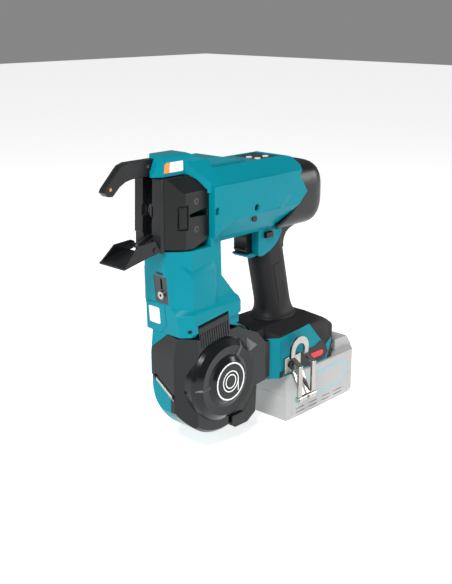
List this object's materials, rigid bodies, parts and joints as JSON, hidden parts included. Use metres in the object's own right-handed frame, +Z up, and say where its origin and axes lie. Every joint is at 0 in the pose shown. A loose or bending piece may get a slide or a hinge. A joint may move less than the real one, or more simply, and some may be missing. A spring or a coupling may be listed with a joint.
{
  "type": "rebar tying tool",
  "caption": "Cordless rebar tying tool with a curl guide, a hinged lower guide, a wire reel under a hinged smoked cover, a planetary twisting drive, a sliding battery and a folding belt hook.",
  "frame": {"origin": "middle of the bounding box in X and Y, at the underside of the battery", "axes": "+X from the nose to the battery, +Y to the right of the tool, +Z up"},
  "size_m": [0.348, 0.1046, 0.317],
  "materials": {
    "teal_shell": "satin moulded plastic",
    "dark_shell": "satin moulded plastic",
    "soft_grip": "matt soft rubber",
    "smoked_cover": "smoked clear plastic",
    "black_steel": "black coated steel",
    "bright_steel": "plain bright steel",
    "copper_rivet": "plain copper",
    "wire_steel": "annealed wire",
    "spool_plastic": "satin moulded plastic",
    "white_button": "satin moulded plastic",
    "pale_case": "satin moulded plastic",
    "cell_wrap": "shrink wrap"
  },
  "bodies": {
    "tool": {"left_housing": "teal_shell", "right_housing": "teal_shell", "rear_cover": "dark_shell", "handle_grip": "soft_grip", "base_grip": "soft_grip", "head_frame": "black_steel", "left_head_cover": "dark_shell", "right_head_cover": "dark_shell", "left_contact_plate": "black_steel", "right_contact_plate": "black_steel", "head_screws": "bright_steel", "curl_guide_core": "black_steel", "left_curl_plate": "black_steel", "right_curl_plate": "black_steel", "curl_guide_rivets": "copper_rivet", "lower_guide_pin": "bright_steel", "feed_window": "bright_steel", "wire_tube": "bright_steel", "front_cover": "teal_shell", "reel_case": "teal_shell", "reel_case_back": "dark_shell", "hinge_pin": "bright_steel", "reel_axle": "bright_steel", "trigger_switch": "dark_shell", "control_panel": "dark_shell", "motor_stator": "bright_steel", "front_bearing": "bright_steel", "rear_bearing": "bright_steel", "gear_case": "bright_steel", "spindle_bearing": "bright_steel", "feed_motor": "bright_steel", "terminal_block": "dark_shell", "hook_bracket": "bright_steel", "hook_pin": "bright_steel", "hook_screw": "bright_steel", "housing_screws": "bright_steel"},
    "trigger": {"trigger": "dark_shell"},
    "lock": {"lock_button": "dark_shell"},
    "power_key": {"power_button": "white_button"},
    "torque_up_key": {"torque_up_button": "white_button"},
    "torque_down_key": {"torque_down_button": "white_button"},
    "tray": {"lower_guide": "black_steel"},
    "cover": {"reel_cover": "smoked_cover", "cover_bar": "bright_steel"},
    "latch": {"cover_latch": "dark_shell"},
    "reel": {"wire_reel": "spool_plastic", "wire_winding": "wire_steel"},
    "rotor": {"motor_rotor": "bright_steel", "cooling_fan": "dark_shell"},
    "spindle": {"twist_spindle": "bright_steel"},
    "planet_a": {"planet_gear_1": "bright_steel"},
    "planet_b": {"planet_gear_2": "bright_steel"},
    "planet_c": {"planet_gear_3": "bright_steel"},
    "feed_drive": {"feed_drive_gear": "bright_steel"},
    "feed_idler": {"feed_idler_gear": "bright_steel"},
    "battery": {"battery_lower_case": "pale_case", "battery_upper_case": "pale_case", "battery_cells": "cell_wrap"},
    "release": {"battery_button": "dark_shell"},
    "hook": {"hook_loop": "bright_steel"}
  },
  "joints": [
    {"name": "trigger_pull", "type": "slide", "parent": "tool", "child": "trigger", "axis": [1, 0, 0], "range_m": [0, 0.006], "stiffness_N_per_m": 800, "springref_m": -0.002},
    {"name": "lock_push", "type": "slide", "parent": "tool", "child": "lock", "axis": [0, 1, 0], "range_m": [0, 0.004]},
    {"name": "power_press", "type": "slide", "parent": "tool", "child": "power_key", "axis": [0, 0, -1], "range_m": [0, 0.0006], "stiffness_N_per_m": 1500, "springref_m": -0.0004},
    {"name": "torque_up_press", "type": "slide", "parent": "tool", "child": "torque_up_key", "axis": [0, 0, -1], "range_m": [0, 0.0006], "stiffness_N_per_m": 1500, "springref_m": -0.0004},
    {"name": "torque_down_press", "type": "slide", "parent": "tool", "child": "torque_down_key", "axis": [0, 0, -1], "range_m": [0, 0.0006], "stiffness_N_per_m": 1500, "springref_m": -0.0004},
    {"name": "tray_swing", "type": "hinge", "parent": "tool", "child": "tray", "pos_m": [-0.127, 0.0103, 0.231], "axis": [0, -1, 0], "range_deg": [0, 35], "stiffness_Nm_per_rad": 0.4, "springref_deg": -20.05},
    {"name": "cover_swing", "type": "hinge", "parent": "tool", "child": "cover", "pos_m": [-0.0695, -0.0241, 0.15], "axis": [-0.9917, 0, -0.1288], "range_deg": [0, 90]},
    {"name": "latch_slide", "type": "slide", "parent": "cover", "child": "latch", "axis": [1, 0, 0], "range_m": [0, 0.004], "stiffness_N_per_m": 600, "springref_m": -0.002},
    {"name": "reel_spin", "type": "hinge", "parent": "tool", "child": "reel", "pos_m": [-0.0575, 0.0103, 0.086], "axis": [0, 1, 0], "continuous": true},
    {"name": "spindle_spin", "type": "hinge", "parent": "tool", "child": "spindle", "pos_m": [-0.012, 0.0103, 0.264], "axis": [1, 0, 0], "continuous": true},
    {"name": "rotor_spin", "type": "hinge", "parent": "tool", "child": "rotor", "pos_m": [-0.012, 0.0103, 0.264], "axis": [1, 0, 0], "continuous": true},
    {"name": "planet_a_spin", "type": "hinge", "parent": "spindle", "child": "planet_a", "pos_m": [-0.012, 0.0238, 0.264], "axis": [1, 0, 0], "continuous": true},
    {"name": "planet_b_spin", "type": "hinge", "parent": "spindle", "child": "planet_b", "pos_m": [-0.012, 0.00355, 0.27569], "axis": [1, 0, 0], "continuous": true},
    {"name": "planet_c_spin", "type": "hinge", "parent": "spindle", "child": "planet_c", "pos_m": [-0.012, 0.00355, 0.25231], "axis": [1, 0, 0], "continuous": true},
    {"name": "feed_drive_spin", "type": "hinge", "parent": "tool", "child": "feed_drive", "pos_m": [-0.074, 0.0103, 0.196], "axis": [0, 1, 0], "continuous": true},
    {"name": "feed_idler_spin", "type": "hinge", "parent": "tool", "child": "feed_idler", "pos_m": [-0.094, 0.0103, 0.196], "axis": [0, 1, 0], "continuous": true},
    {"name": "battery_slide", "type": "slide", "parent": "tool", "child": "battery", "axis": [1, 0, 0], "range_m": [0, 0.11]},
    {"name": "release_press", "type": "slide", "parent": "battery", "child": "release", "axis": [-1, 0, 0], "range_m": [0, 0.003], "stiffness_N_per_m": 800, "springref_m": -0.002},
    {"name": "hook_fold", "type": "hinge", "parent": "tool", "child": "hook", "pos_m": [0.055, -0.0487, 0.036], "axis": [1, 0, 0], "range_deg": [0, 90]}
  ],
  "couplings": [
    {"joint": "rotor_spin", "follows": "spindle_spin", "ratio": 4.5},
    {"joint": "planet_a_spin", "follows": "spindle_spin", "ratio": -2.8},
    {"joint": "planet_b_spin", "follows": "spindle_spin", "ratio": -2.8},
    {"joint": "planet_c_spin", "follows": "spindle_spin", "ratio": -2.8},
    {"joint": "feed_idler_spin", "follows": "feed_drive_spin", "ratio": -1}
  ]
}
